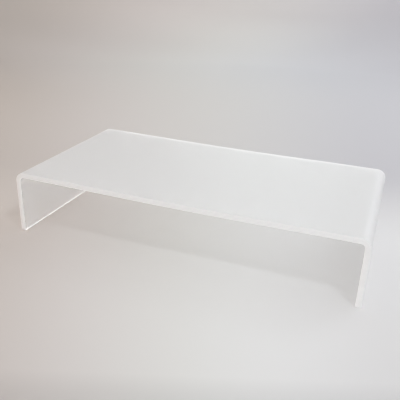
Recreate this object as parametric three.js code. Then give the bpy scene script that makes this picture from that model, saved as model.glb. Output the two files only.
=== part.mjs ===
// Monitor riser stand: a bridge bent from one sheet of frosted acrylic, standing on
// four clear anti-slip pads stuck under the bottom edges of its two legs.
//
// Millimetres, +Z up. The origin is the centre of the footprint, on the desk.
// +X runs along the platform's width, from leg to leg, and -Y is the front.

import * as THREE from 'three';

// Driving dimensions
const WIDTH = 530; // across the outer faces of the legs
const DEPTH = 265; // front edge to back edge
const HEIGHT = 100; // desk to the top of the platform
const SHEET_THICKNESS = 8;
const INNER_BEND_RADIUS = 6; // the outer face bends one sheet thickness wider
const EDGE_ARRIS = 0.4; // the polished edges are broken by this much
const BEND_SEGMENTS = 20;

const PAD_THICKNESS = 1;
const PAD_WIDTH = 6; // narrower than the leg's edge, so that it doesn't show
const PAD_LENGTH = 24;
const PAD_END_INSET = 12; // from the leg's front or back edge to the pad's end
const PAD_END_SEGMENTS = 12;

// Worked out from those
const OUTER_BEND_RADIUS = INNER_BEND_RADIUS + SHEET_THICKNESS;
const HALF_WIDTH = WIDTH / 2;
const LEG_BOTTOM = PAD_THICKNESS; // the legs stand on the pads
const LEG_CENTRE_X = HALF_WIDTH - SHEET_THICKNESS / 2;
const PAD_CENTRE_Y = DEPTH / 2 - PAD_END_INSET - PAD_LENGTH / 2;

const frostedAcrylic = new THREE.MeshStandardMaterial({
  color: 0xf1f1ee,
  roughness: 0.55,
  metalness: 0,
});

const clearPolyurethane = new THREE.MeshStandardMaterial({
  color: 0xe4e8e8,
  roughness: 0.3,
  metalness: 0,
});

// The sheet seen from the front: up the left leg, over the top and down the right leg,
// then back along the inside.
function bridgeProfile() {
  const innerHalfWidth = HALF_WIDTH - SHEET_THICKNESS;
  const bendCentreX = HALF_WIDTH - OUTER_BEND_RADIUS;
  const bendCentreZ = HEIGHT - OUTER_BEND_RADIUS;
  const quarterTurn = Math.PI / 2;

  const profile = new THREE.Shape();
  profile.moveTo(-HALF_WIDTH + EDGE_ARRIS, LEG_BOTTOM);
  profile.lineTo(-HALF_WIDTH, LEG_BOTTOM + EDGE_ARRIS);
  profile.absarc(-bendCentreX, bendCentreZ, OUTER_BEND_RADIUS, 2 * quarterTurn, quarterTurn, true);
  profile.absarc(bendCentreX, bendCentreZ, OUTER_BEND_RADIUS, quarterTurn, 0, true);
  profile.lineTo(HALF_WIDTH, LEG_BOTTOM + EDGE_ARRIS);
  profile.lineTo(HALF_WIDTH - EDGE_ARRIS, LEG_BOTTOM);
  profile.lineTo(innerHalfWidth + EDGE_ARRIS, LEG_BOTTOM);
  profile.lineTo(innerHalfWidth, LEG_BOTTOM + EDGE_ARRIS);
  profile.absarc(bendCentreX, bendCentreZ, INNER_BEND_RADIUS, 0, quarterTurn, false);
  profile.absarc(-bendCentreX, bendCentreZ, INNER_BEND_RADIUS, quarterTurn, 2 * quarterTurn, false);
  profile.lineTo(-innerHalfWidth, LEG_BOTTOM + EDGE_ARRIS);
  profile.lineTo(-innerHalfWidth - EDGE_ARRIS, LEG_BOTTOM);
  profile.closePath();
  return profile;
}

// The profile is drawn in X and Y and pushed along Z, so the finished length is turned
// upright: the drawing's Y becomes height and the push runs from the back to the front.
function makeBentSheet() {
  const geometry = new THREE.ExtrudeGeometry(bridgeProfile(), {
    depth: DEPTH - 2 * EDGE_ARRIS,
    curveSegments: BEND_SEGMENTS,
    bevelEnabled: true,
    bevelThickness: EDGE_ARRIS,
    bevelSize: EDGE_ARRIS,
    bevelOffset: -EDGE_ARRIS,
    bevelSegments: 1,
  });
  const sheet = new THREE.Mesh(geometry, frostedAcrylic);
  sheet.name = 'bent_sheet';
  sheet.rotation.x = Math.PI / 2;
  sheet.position.y = DEPTH / 2 - EDGE_ARRIS;
  return sheet;
}

// A strip with round ends, lying along the leg's bottom edge.
function padGeometry() {
  const radius = PAD_WIDTH / 2;
  const endCentreY = PAD_LENGTH / 2 - radius;
  const outline = new THREE.Shape();
  outline.absarc(0, endCentreY, radius, 0, Math.PI, false);
  outline.absarc(0, -endCentreY, radius, Math.PI, 2 * Math.PI, false);
  outline.closePath();
  return new THREE.ExtrudeGeometry(outline, {
    depth: PAD_THICKNESS,
    curveSegments: PAD_END_SEGMENTS,
    bevelEnabled: false,
  });
}

function makeFootPads() {
  const pads = new THREE.Group();
  const rows = [['front', -1], ['rear', 1]];
  const legs = [['left', -1], ['right', 1]];
  for (const [rowName, rowSide] of rows) {
    for (const [legName, legSide] of legs) {
      const pad = new THREE.Mesh(padGeometry(), clearPolyurethane);
      pad.name = `${rowName}_${legName}_foot_pad`;
      pad.position.set(legSide * LEG_CENTRE_X, rowSide * PAD_CENTRE_Y, 0);
      pads.add(pad);
    }
  }
  return pads;
}

const riser = new THREE.Group();
riser.add(makeBentSheet());
riser.add(makeFootPads());

export default riser;
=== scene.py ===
# The looks of a monitor riser stand: one sheet of frosted acrylic bent into a bridge,
# with polished edges, standing on four clear anti-slip pads.
#
# Metres, +Z up, in the frame of the CAD model. The front is -Y.

import math

import bmesh
import bpy
from mathutils import Matrix, Vector


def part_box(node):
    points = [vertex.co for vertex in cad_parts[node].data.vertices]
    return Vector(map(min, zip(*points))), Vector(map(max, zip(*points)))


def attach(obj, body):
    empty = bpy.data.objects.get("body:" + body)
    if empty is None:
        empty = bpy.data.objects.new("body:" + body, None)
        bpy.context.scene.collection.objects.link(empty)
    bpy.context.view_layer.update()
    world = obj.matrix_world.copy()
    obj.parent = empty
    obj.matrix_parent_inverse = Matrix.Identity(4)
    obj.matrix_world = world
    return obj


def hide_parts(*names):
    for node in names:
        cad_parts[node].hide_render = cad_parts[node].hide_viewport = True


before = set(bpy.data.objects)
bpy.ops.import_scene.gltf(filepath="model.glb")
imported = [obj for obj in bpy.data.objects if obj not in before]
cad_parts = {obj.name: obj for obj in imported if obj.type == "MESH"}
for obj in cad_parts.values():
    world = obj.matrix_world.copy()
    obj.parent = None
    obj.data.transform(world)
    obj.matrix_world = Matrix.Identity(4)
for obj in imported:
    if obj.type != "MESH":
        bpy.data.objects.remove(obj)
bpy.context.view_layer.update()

MM = 0.001
QUARTER_TURN = math.pi / 2

# The sheet. Its outside sizes come from the frame.
THICKNESS = 8 * MM
INNER_RADIUS = 6 * MM
ARRIS_RADIUS = 0.5 * MM  # where the polished edges meet the frosted faces
PLATFORM_SAG = 1.9 * MM  # at mid-span
BEND_THINNING = 0.04  # a heated bend stretches a little, so it is thinner by this share
BEND_SWELL = 0.45 * MM  # the squeezed inside of a bend stands proud of the edge
BEND_PINCH = 0.2 * MM  # and the stretched outside draws in
SWELL_REACH = 7 * MM

# Worked out from those
sheet_low, sheet_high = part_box("bent_sheet")
HALF_WIDTH = sheet_high.x
HALF_DEPTH = sheet_high.y
TOP = sheet_high.z
MID_RADIUS = INNER_RADIUS + THICKNESS / 2
OUTER_RADIUS = INNER_RADIUS + THICKNESS
HALF_FLAT = HALF_WIDTH - OUTER_RADIUS
BEND_LENGTH = MID_RADIUS * QUARTER_TURN
LEG_LENGTH = TOP - OUTER_RADIUS - sheet_low.z
HALF_RUN = HALF_FLAT + BEND_LENGTH + LEG_LENGTH

# The sheet's grid
ARRIS_STEPS = 3  # facets on each side of an arris's middle
HOLD = 0.5 * MM  # a grid line this far inside an arris keeps the face beside it flat
PLATFORM_STEPS = 36  # from the middle to a bend
BEND_STEPS = 20
LEG_STEPS = 12
THICKNESS_STEPS = 4
DEPTH_STEPS = 32
DEPTH_INSET = 12 * MM  # those start this far in from the front and back edges
SWELL_INSET = 4 * MM  # and one more line lies here, where the bends swell

# The pads
PAD_RIM_RADIUS = 0.35 * MM
PAD_RIM_STEPS = 4
PAD_END_STEPS = 16

# The acrylic
FROSTED, POLISHED = 0, 1  # its two materials
FLAT_PLACE = "flat"  # the mesh attribute that keeps each point's place on the flat sheet
ACRYLIC_IOR = 1.49
SCATTER_REACH = 12 * MM  # how far light wanders inside the sheet
LAMP_SHARE = 0.7  # of a lamp's light, that each face lets through
OUTER_FACE_ROUGHNESS = 0.48
INNER_FACE_ROUGHNESS = 0.18
HANDLING_ROUGHNESS = 0.05  # more or less than those, in slow patches
GRAIN_ROUGHNESS = 0.03  # and from grain to grain
FLAT_CLARITY = 0.4  # the share of the body that is clear and not milky
BEND_CLARITY = 0.2
MILKIEST = 0.6  # of the way round a bend
MILKY_REACH = 4 * MM  # it is as milky to this distance on both sides
CLEARING_REACH = 14 * MM  # and as clear as the flats from this one on
LINE_STRETCH = 0.012  # the polishing lines' thickness against their length
EDGE_ROUGHNESS = (0.1, 0.26)
# Painted glow: the cut edges give off light of their own, standing in for the light that real acrylic
# carries inside the sheet to its edges
OUTER_SIDE_PAINTED_GLOW = 0.09  # of the cut edges, next to the sheet's outer face
INNER_SIDE_PAINTED_GLOW = 0.185  # and next to its inner face
UPRIGHT_EDGE_PAINTED_GLOW = 0.55  # of the front and back edges, seen from inside the sheet
BOTTOM_EDGE_PAINTED_GLOW = 1.3  # and of the legs' bottom edges
DEEPEST_PAINTED_GLOW = 1.5  # the last two are for rays that have gone through one face, and no more

# The backdrop's shape: a floor, a cove and a wall
FLOOR_RADIUS = 1.6
COVE_RADIUS = 0.9
WALL_TOP = 2.2
FLOOR_STEPS = 8
COVE_STEPS = 16
ROUND_STEPS = 96
FLOOR_GAP = 0.1 * MM  # it lies just under the pads, so that no two faces lie in one plane

# Its colours, the paper's own tone with the room's uneven light and shade painted in, run from left to
# right across the camera's view and its brightness from front to back.
# Depths are metres behind the stand's middle, along that view.
VIEW_TURN = 20  # degrees to the left
COLOUR_SPAN = 1.3  # metres at the stand's middle, and a metre more for each metre behind it
NARROWEST_DEPTH = -0.5  # it narrows no further in front of this
NARROWEST_BLEND = 0.5  # with a change this soft
# Places across that span, from 0 to 1, and the colours there
NEAR_PAPER_AND_LIGHT = (
    (0.20, (0.653, 0.591, 0.542)),
    (0.33, (0.784, 0.737, 0.716)),
    (0.46, (0.864, 0.863, 0.833)),
    (0.58, (0.945, 0.946, 0.942)),
    (0.72, (0.808, 0.8, 0.8)),
)
FAR_PAPER_AND_LIGHT = (
    (0.20, (0.553, 0.503, 0.463)),
    (0.33, (0.662, 0.617, 0.599)),
    (0.46, (0.69, 0.672, 0.65)),
    (0.58, (0.67, 0.66, 0.66)),
    (0.72, (0.585, 0.578, 0.612)),
)
NEAR_TO_FAR = (-0.05, 0.3)  # the depths between which the first set turns into the second
# From one depth to another, the colours slide to the left by this share of their span
COLOUR_SLIDES = (
    (0.8, 1.5, 0.06),
    (1.5, 2.2, -0.136),
)
# Depths, and how bright the paper is there: painted light and shade
PAINTED_LIGHT_LEVELS = (
    (-0.39, 0.83),
    (-0.35, 0.975),
    (0.0, 1.03),
    (0.5, 1.08),
    (1.3, 1.055),
    (1.6, 1.095),
    (1.9, 1.157),
    (2.2, 1.364),
)

# The lamps, all aimed at the origin: name, place, diameter, watts and colour
LAMPS = (
    ("key", (0.85, -0.78, 1.6), 0.12, 6.15, (0.914, 0.944, 1.0)),
    ("back_right", (1.3, 1.4, 1.5), 1.2, 12.0, (0.974, 0.987, 1.0)),
    ("low_back", (-0.3, 1.7, 0.9), 1.0, 3.0, (0.866, 1.0, 0.966)),
    ("low_left", (-1.7, -0.2, 0.7), 0.8, 4.9, (1.0, 0.797, 0.658)),
)
ROOM_COLOUR = (0.975, 0.989, 1.0, 1)
ROOM_STRENGTH = 0.637

CAMERA_PLACE = (0.2644, -0.7496, 0.4042)
CAMERA_YAW = 20.17  # degrees to the left
CAMERA_PITCH = 24.05  # degrees down
CAMERA_ROLL = 2.07  # degrees, leaning left
CAMERA_LENS = 48.2  # millimetres, like the sensor
CAMERA_SENSOR = 36


# ---------------------------------------------------------------- mesh helpers

def new_piece(name, bm):
    mesh = bpy.data.meshes.new(name)
    bmesh.ops.recalc_face_normals(bm, faces=bm.faces)
    bm.to_mesh(mesh)
    bm.free()
    for polygon in mesh.polygons:
        polygon.use_smooth = True
    piece = bpy.data.objects.new(name, mesh)
    bpy.context.scene.collection.objects.link(piece)
    return piece


def spaced(start, end, count):
    return [start + (end - start) * i / count for i in range(count + 1)]


def join_rings(bm, rings):
    """Faces between each closed ring of points and the next."""
    for lower, upper in zip(rings, rings[1:]):
        for i in range(len(lower)):
            j = (i + 1) % len(lower)
            bm.faces.new((lower[i], lower[j], upper[j], upper[i]))


def with_arrises(half, inner):
    """Grid lines from -half to half: close ones over the arris at each end, and the inner ones."""
    edge = []
    for step in range(ARRIS_STEPS, -1, -1):
        turn = QUARTER_TURN / 2 * step / ARRIS_STEPS
        edge.append(ARRIS_RADIUS * (1 - math.tan(turn)))
    edge.append(ARRIS_RADIUS + HOLD)
    low = [-half + e for e in edge]
    return low + inner + [-v for v in reversed(low)]


def rounded(point, halves):
    """Moves a point on the skin of a box so that the box's arrises are round."""
    core = Vector([max(-h + ARRIS_RADIUS, min(h - ARRIS_RADIUS, c)) for c, h in zip(point, halves)])
    out = point - core
    return core + out.normalized() * ARRIS_RADIUS


# ---------------------------------------------------------------- the sheet

def smooth_bump(share):
    """0 at both ends of a bend and 1 in its middle, with no corner."""
    return math.sin(math.pi * max(0.0, min(1.0, share))) ** 2


def bent(run, across, out):
    """A point of the flat sheet, put where the bends carry it.

    run is the distance along the sheet from the middle of the platform, across is towards
    the back, and out is from the middle of the thickness towards the outer face."""
    side = math.copysign(1.0, run)
    along = abs(run)
    middle_z = TOP - THICKNESS / 2
    bend_z = TOP - OUTER_RADIUS
    past_flat = along - HALF_FLAT

    swell = smooth_bump(past_flat / BEND_LENGTH)
    near_edge = math.exp(-(HALF_DEPTH - abs(across)) / SWELL_REACH)
    inside = 0.5 - out / THICKNESS
    proud = BEND_SWELL * inside - BEND_PINCH * (1 - inside)
    across += math.copysign(swell * near_edge * proud, across)
    out *= 1 - BEND_THINNING * swell

    if past_flat <= 0:
        # the curve of a beam whose two ends are held
        sag = PLATFORM_SAG * (1 - (along / HALF_FLAT) ** 2) ** 2
        return Vector((side * along, across, middle_z + out - sag))
    if past_flat <= BEND_LENGTH:
        turn = past_flat / MID_RADIUS
        radius = MID_RADIUS + out
        x = HALF_FLAT + radius * math.sin(turn)
        return Vector((side * x, across, bend_z + radius * math.cos(turn)))
    x = HALF_FLAT + MID_RADIUS + out
    return Vector((side * x, across, bend_z - (past_flat - BEND_LENGTH)))


def grid_lines(halves):
    """Where the flat sheet's grid lines lie along its run, its depth and its thickness."""
    bend_end = HALF_FLAT + BEND_LENGTH
    leg_end = HALF_RUN - ARRIS_RADIUS - 2 * HOLD
    right = spaced(0, HALF_FLAT, PLATFORM_STEPS)[1:]
    right += spaced(HALF_FLAT, bend_end, BEND_STEPS)[1:]
    right += spaced(bend_end, leg_end, LEG_STEPS)[1:]
    run = [-v for v in reversed(right)] + [0.0] + right

    swell_line = HALF_DEPTH - SWELL_INSET
    across = spaced(-HALF_DEPTH + DEPTH_INSET, HALF_DEPTH - DEPTH_INSET, DEPTH_STEPS)
    across = [-swell_line] + across + [swell_line]

    quarter = THICKNESS / 4
    through = spaced(-quarter, quarter, THICKNESS_STEPS)
    return [with_arrises(half, inner) for half, inner in zip(halves, (run, across, through))]


def sheet_mesh():
    """The flat sheet as a box gridded on all six sides, with every point bent into place."""
    halves = (HALF_RUN, HALF_DEPTH, THICKNESS / 2)
    lines = grid_lines(halves)
    bm = bmesh.new()
    flat = bm.verts.layers.float_vector.new(FLAT_PLACE)
    made = {}

    def corner(index):
        if index not in made:
            point = rounded(Vector([lines[axis][i] for axis, i in enumerate(index)]), halves)
            made[index] = bm.verts.new(bent(*point))
            made[index][flat] = point
        return made[index]

    for axis in range(3):
        first, second = (axis + 1) % 3, (axis + 2) % 3
        for end in (0, len(lines[axis]) - 1):
            for i in range(len(lines[first]) - 1):
                for j in range(len(lines[second]) - 1):
                    loop = []
                    for di, dj in ((0, 0), (1, 0), (1, 1), (0, 1)):
                        index = [0, 0, 0]
                        index[axis] = end
                        index[first] = i + di
                        index[second] = j + dj
                        loop.append(corner(tuple(index)))
                    if end == 0:
                        loop.reverse()
                    face = bm.faces.new(loop)
                    face.material_index = FROSTED if axis == 2 else POLISHED
    return bm


# ---------------------------------------------------------------- the pads

def pad_mesh(low, high):
    """A strip with round ends and a softly rounded edge all round, as a stack of closed rings."""
    half_width = (high.x - low.x) / 2
    straight = (high.y - low.y) / 2 - half_width
    centre = (low + high) / 2
    levels = []
    for step in range(PAD_RIM_STEPS + 1):
        turn = QUARTER_TURN * step / PAD_RIM_STEPS
        inset = PAD_RIM_RADIUS * (1 - math.sin(turn))
        levels.append((inset, low.z + PAD_RIM_RADIUS * (1 - math.cos(turn))))
    levels += [(inset, low.z + high.z - z) for inset, z in reversed(levels)]
    bm = bmesh.new()
    rings = []
    for inset, z in levels:
        radius = half_width - inset
        ring = []
        for end in (1, -1):
            for step in range(PAD_END_STEPS + 1):
                turn = math.pi * step / PAD_END_STEPS
                x = end * math.cos(turn) * radius
                y = end * (straight + math.sin(turn) * radius)
                ring.append(bm.verts.new((centre.x + x, centre.y + y, z)))
        rings.append(ring)
    join_rings(bm, rings)
    bm.faces.new(list(reversed(rings[0])))
    bm.faces.new(rings[-1])
    return bm


# ---------------------------------------------------------------- materials

class Recipe:
    """One material's nodes. A value given to a node is a plain value or another node's output."""

    def __init__(self, name):
        self.material = bpy.data.materials.new(name)
        self.material.use_nodes = True
        self.tree = self.material.node_tree
        self.surface = self.tree.nodes["Principled BSDF"]

    def feed(self, node, inputs):
        for name, value in inputs.items():
            if isinstance(value, bpy.types.NodeSocket):
                self.tree.links.new(value, node.inputs[name])
            else:
                node.inputs[name].default_value = value

    def node(self, kind, inputs, **settings):
        node = self.tree.nodes.new("ShaderNode" + kind)
        for name, value in settings.items():
            setattr(node, name, value)
        self.feed(node, inputs)
        return node

    def maths(self, operation, *values):
        return self.node("Math", dict(enumerate(values)), operation=operation).outputs["Value"]

    def vector_maths(self, operation, *values):
        node = self.node("VectorMath", dict(enumerate(values)), operation=operation)
        return node.outputs["Value" if operation == "DOT_PRODUCT" else "Vector"]

    def between(self, share, low, high):
        """low where the share is 0, and high where it is 1."""
        inputs = {"Value": share, "To Min": low, "To Max": high}
        return self.node("MapRange", inputs).outputs["Result"]

    def share_of(self, value, start, end):
        """0 at the start, and 1 at the end."""
        inputs = {"Value": value, "From Min": start, "From Max": end}
        return self.node("MapRange", inputs).outputs["Result"]

    def smooth_step(self, value, start, end, height=1.0):
        """0 up to the start, and the height past the end, with no corner between them."""
        inputs = {"Value": value, "From Min": start, "From Max": end, "To Max": height}
        node = self.node("MapRange", inputs, interpolation_type="SMOOTHSTEP")
        return node.outputs["Result"]

    def ramp(self, share, stops, interpolation="LINEAR"):
        node = self.node("ValToRGB", {"Fac": share})
        node.color_ramp.interpolation = interpolation
        elements = node.color_ramp.elements
        # A new ramp has two stops already. They become the last one and the first one.
        for index, (place, colour) in ((1, stops[-1]), (0, stops[0])):
            elements[index].position = place
            elements[index].color = (*colour, 1)
        for place, colour in stops[1:-1]:
            elements.new(place).color = (*colour, 1)
        return node.outputs["Color"]

    def tint(self, share, low, high):
        return self.ramp(share, ((0.0, low), (1.0, high)))

    def noise(self, place, size, detail):
        inputs = {"Vector": place, "Scale": 1 / size, "Detail": detail}
        return self.node("TexNoise", inputs).outputs["Fac"]

    def bump(self, height, depth, under=None):
        inputs = {"Height": height, "Distance": depth, "Strength": 1.0}
        if under is not None:
            inputs["Normal"] = under
        return self.node("Bump", inputs).outputs["Normal"]

    def flat_place(self):
        """A point's place on the flat sheet, so that a pattern follows the bends."""
        return self.node("Attribute", {}, attribute_name=FLAT_PLACE).outputs["Vector"]

    def let_lamps_through(self, share):
        """Each face lets this share of a lamp's light straight through, on its way to the floor."""
        path = self.node("LightPath", {})
        clear = self.node("BsdfTransparent", {"Color": (share, share, share, 1)})
        either = self.node("MixShader", {
            "Fac": path.outputs["Is Shadow Ray"],
            1: self.surface.outputs["BSDF"],
            2: clear.outputs["BSDF"],
        })
        self.feed(self.tree.nodes["Material Output"], {"Surface": either.outputs["Shader"]})


def frosted_acrylic():
    """Cast acrylic with satin faces: a milky body under a fine etched grain."""
    recipe = Recipe("frosted_acrylic")
    place = recipe.flat_place()
    grain = recipe.noise(place, size=0.5 * MM, detail=3.0)
    handling = recipe.noise(place, size=70 * MM, detail=5.0)
    cloud = recipe.noise(place, size=160 * MM, detail=2.0)
    ripple = recipe.noise(place, size=12 * MM, detail=1.0)
    flat = recipe.node("SeparateXYZ", {"Vector": place})

    outer_face = recipe.maths("GREATER_THAN", flat.outputs["Z"], 0.0)
    finish = recipe.between(outer_face, INNER_FACE_ROUGHNESS, OUTER_FACE_ROUGHNESS)
    patches = recipe.between(handling, -HANDLING_ROUGHNESS, HANDLING_ROUGHNESS)
    grains = recipe.between(grain, -GRAIN_ROUGHNESS, GRAIN_ROUGHNESS)

    from_middle = recipe.maths("ABSOLUTE", flat.outputs["X"])
    past_milkiest = recipe.maths("SUBTRACT", from_middle, HALF_FLAT + BEND_LENGTH * MILKIEST)
    from_milkiest = recipe.maths("ABSOLUTE", past_milkiest)
    at_bend = recipe.smooth_step(from_milkiest, CLEARING_REACH, MILKY_REACH)

    recipe.feed(recipe.surface, {
        "Base Color": recipe.tint(cloud, (0.975, 0.975, 0.97), (0.99, 0.99, 0.988)),
        "Roughness": recipe.maths("ADD", finish, recipe.maths("ADD", patches, grains)),
        "Normal": recipe.bump(grain, depth=0.01 * MM, under=recipe.bump(ripple, depth=0.03 * MM)),
        "IOR": ACRYLIC_IOR,
        "Transmission Weight": recipe.between(at_bend, FLAT_CLARITY, BEND_CLARITY),
        "Subsurface Weight": 1.0,
        "Subsurface Radius": (1, 1, 1),
        "Subsurface Scale": SCATTER_REACH,
    })
    recipe.let_lamps_through(LAMP_SHARE)
    return recipe.material


def polished_edge():
    """The cut edges, polished clear, with painted light: their emission stands in for the light that real
    acrylic carries inside the sheet to its edges.
    """
    recipe = Recipe("polished_edge")
    place = recipe.flat_place()
    stretched = recipe.vector_maths("MULTIPLY", place, (LINE_STRETCH, LINE_STRETCH, 1))
    lines = recipe.noise(stretched, size=0.45 * MM, detail=3.0)
    waves = recipe.noise(place, size=5 * MM, detail=2.0)
    flat = recipe.node("SeparateXYZ", {"Vector": place})

    # Painted glow on the edges, stronger next to the sheet's inner face
    inwards = recipe.maths("MULTIPLY_ADD", flat.outputs["Z"], -1 / THICKNESS, 0.5)
    glow = recipe.between(inwards, OUTER_SIDE_PAINTED_GLOW, INNER_SIDE_PAINTED_GLOW)

    from_middle = recipe.maths("ABSOLUTE", flat.outputs["X"])
    at_bottom = recipe.maths("GREATER_THAN", from_middle, HALF_RUN - 2 * ARRIS_RADIUS)
    inside_glow = recipe.between(at_bottom, UPRIGHT_EDGE_PAINTED_GLOW, BOTTOM_EDGE_PAINTED_GLOW)

    # Seen from inside the sheet the painted glow is stronger, strongest along the legs' bottom edges
    from_inside = recipe.node("NewGeometry", {}).outputs["Backfacing"]
    ray_depth = recipe.node("LightPath", {}).outputs["Ray Depth"]
    in_sight = recipe.maths("LESS_THAN", ray_depth, DEEPEST_PAINTED_GLOW)
    seen_from_inside = recipe.maths("MULTIPLY", from_inside, in_sight)

    recipe.feed(recipe.surface, {
        "Base Color": recipe.tint(waves, (0.975, 0.98, 0.978), (0.99, 0.992, 0.99)),
        "Roughness": recipe.between(lines, *EDGE_ROUGHNESS),
        "Normal": recipe.bump(lines, depth=0.012 * MM, under=recipe.bump(waves, depth=0.04 * MM)),
        "IOR": ACRYLIC_IOR,
        "Subsurface Weight": 1.0,
        "Subsurface Radius": (1, 1, 1),
        "Subsurface Scale": SCATTER_REACH,
        "Emission Color": (1, 1, 1, 1),
        "Emission Strength": recipe.between(seen_from_inside, glow, inside_glow),
    })
    recipe.let_lamps_through(LAMP_SHARE)
    return recipe.material


def clear_polyurethane():
    """The pads: soft and clear, a little dusty where they have picked up the desk."""
    recipe = Recipe("clear_polyurethane")
    place = recipe.node("TexCoord", {}).outputs["Object"]
    dust = recipe.noise(place, size=1.5 * MM, detail=4.0)
    recipe.feed(recipe.surface, {
        "Base Color": recipe.tint(dust, (0.86, 0.88, 0.87), (0.93, 0.95, 0.94)),
        "Roughness": recipe.between(dust, 0.32, 0.46),
        "Normal": recipe.bump(dust, depth=0.02 * MM),
        "IOR": 1.5,
        "Transmission Weight": 0.7,
    })
    return recipe.material


def backdrop_paper_and_painted_light():
    """Smooth paper with painted light and shade: warmer and dimmer to the left, cooler to the right, and
    dimmest at the very front.
    """
    recipe = Recipe("backdrop_paper_and_painted_light")
    place = recipe.node("TexCoord", {}).outputs["Object"]
    turn = math.radians(VIEW_TURN)
    aside = recipe.vector_maths("DOT_PRODUCT", place, (math.cos(turn), math.sin(turn), 0))
    away = recipe.vector_maths("DOT_PRODUCT", place, (-math.sin(turn), math.cos(turn), 0))

    widening = recipe.maths("SMOOTH_MAX", away, NARROWEST_DEPTH, NARROWEST_BLEND)
    span = recipe.maths("ADD", widening, COLOUR_SPAN)
    across_span = recipe.maths("ADD", recipe.maths("DIVIDE", aside, span), 0.5)
    for start, end, slide in COLOUR_SLIDES:
        across_span = recipe.maths("ADD", across_span, recipe.smooth_step(away, start, end, slide))
    # Painted light and shade: these colours stand in for warm light from the left and cool light from the
    # right, over the paper's own tone
    near = recipe.ramp(across_span, NEAR_PAPER_AND_LIGHT, "B_SPLINE")
    far = recipe.ramp(across_span, FAR_PAPER_AND_LIGHT, "B_SPLINE")
    behind = recipe.smooth_step(away, *NEAR_TO_FAR)
    tint = recipe.node("Mix", {"Factor": behind, 6: near, 7: far}, data_type="RGBA").outputs[2]

    # A ramp holds nothing brighter than 1, so its levels are shares of the brightest one.
    nearest, farthest = PAINTED_LIGHT_LEVELS[0][0], PAINTED_LIGHT_LEVELS[-1][0]
    brightest = max(level for _, level in PAINTED_LIGHT_LEVELS)
    greys = []
    for depth, level in PAINTED_LIGHT_LEVELS:
        greys.append(((depth - nearest) / (farthest - nearest), (level / brightest,) * 3))
    # Painted light and shade: darkest at the very front and brighter up the wall
    grey = recipe.ramp(recipe.share_of(away, nearest, farthest), greys, "CARDINAL")
    brightness = recipe.maths("MULTIPLY", grey, brightest)

    fibres = recipe.noise(place, size=0.8 * MM, detail=4.0)
    recipe.feed(recipe.surface, {
        "Base Color": recipe.vector_maths("MULTIPLY", tint, brightness),
        "Roughness": recipe.between(fibres, 0.8, 0.9),
        "Normal": recipe.bump(fibres, depth=0.02 * MM),
    })
    return recipe.material


# ---------------------------------------------------------------- the stage

def backdrop():
    """A floor that curves up into a wall all round, like a shallow bowl, so that no horizon shows."""
    profile = [(radius, 0.0) for radius in spaced(0, FLOOR_RADIUS, FLOOR_STEPS)[1:]]
    for step in range(1, COVE_STEPS + 1):
        turn = QUARTER_TURN * step / COVE_STEPS
        radius = FLOOR_RADIUS + COVE_RADIUS * math.sin(turn)
        profile.append((radius, COVE_RADIUS * (1 - math.cos(turn))))
    profile.append((FLOOR_RADIUS + COVE_RADIUS, WALL_TOP))

    bm = bmesh.new()
    centre = bm.verts.new((0, 0, -FLOOR_GAP))
    rings = []
    for radius, z in profile:
        ring = []
        for step in range(ROUND_STEPS):
            turn = 2 * math.pi * step / ROUND_STEPS
            ring.append(bm.verts.new((radius * math.cos(turn), radius * math.sin(turn), z - FLOOR_GAP)))
        rings.append(ring)
    for i, point in enumerate(rings[0]):
        bm.faces.new((centre, rings[0][i - 1], point))
    join_rings(bm, rings)
    floor = new_piece("backdrop", bm)
    floor.data.materials.append(backdrop_paper_and_painted_light())


def area_light(name, place, diameter, watts, colour):
    light = bpy.data.lights.new(name, "AREA")
    light.shape = "DISK"
    light.size = diameter
    light.energy = watts
    light.color = colour
    lamp = bpy.data.objects.new(name, light)
    lamp.location = place
    lamp.rotation_euler = (-Vector(place)).to_track_quat("-Z", "Y").to_euler()
    lamp.visible_transmission = False  # let_lamps_through carries this light through the acrylic
    bpy.context.scene.collection.objects.link(lamp)


def room():
    """Even light from all sides."""
    world = bpy.data.worlds.new("room")
    world.use_nodes = True
    background = world.node_tree.nodes["Background"]
    background.inputs["Color"].default_value = ROOM_COLOUR
    background.inputs["Strength"].default_value = ROOM_STRENGTH
    bpy.context.scene.world = world


def camera():
    data = bpy.data.cameras.new("camera")
    data.lens = CAMERA_LENS
    data.sensor_width = CAMERA_SENSOR
    eye = bpy.data.objects.new("camera", data)
    eye.matrix_world = (
        Matrix.Translation(CAMERA_PLACE)
        @ Matrix.Rotation(math.radians(CAMERA_YAW), 4, "Z")
        @ Matrix.Rotation(math.radians(90 - CAMERA_PITCH), 4, "X")
        @ Matrix.Rotation(math.radians(CAMERA_ROLL), 4, "Z")
    )
    bpy.context.scene.collection.objects.link(eye)
    bpy.context.scene.camera = eye


# ---------------------------------------------------------------- assembly

sheet = new_piece("acrylic_sheet", sheet_mesh())
sheet.data.materials.append(frosted_acrylic())
sheet.data.materials.append(polished_edge())
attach(sheet, "root")
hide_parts("bent_sheet")

pad_material = clear_polyurethane()
for node in sorted(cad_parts):
    if node.endswith("_foot_pad"):
        pad = new_piece(node + "_strip", pad_mesh(*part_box(node)))
        pad.data.materials.append(pad_material)
        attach(pad, "root")
        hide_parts(node)

backdrop()
for lamp in LAMPS:
    area_light(*lamp)
room()
camera()
bpy.context.scene.view_settings.view_transform = "Standard"
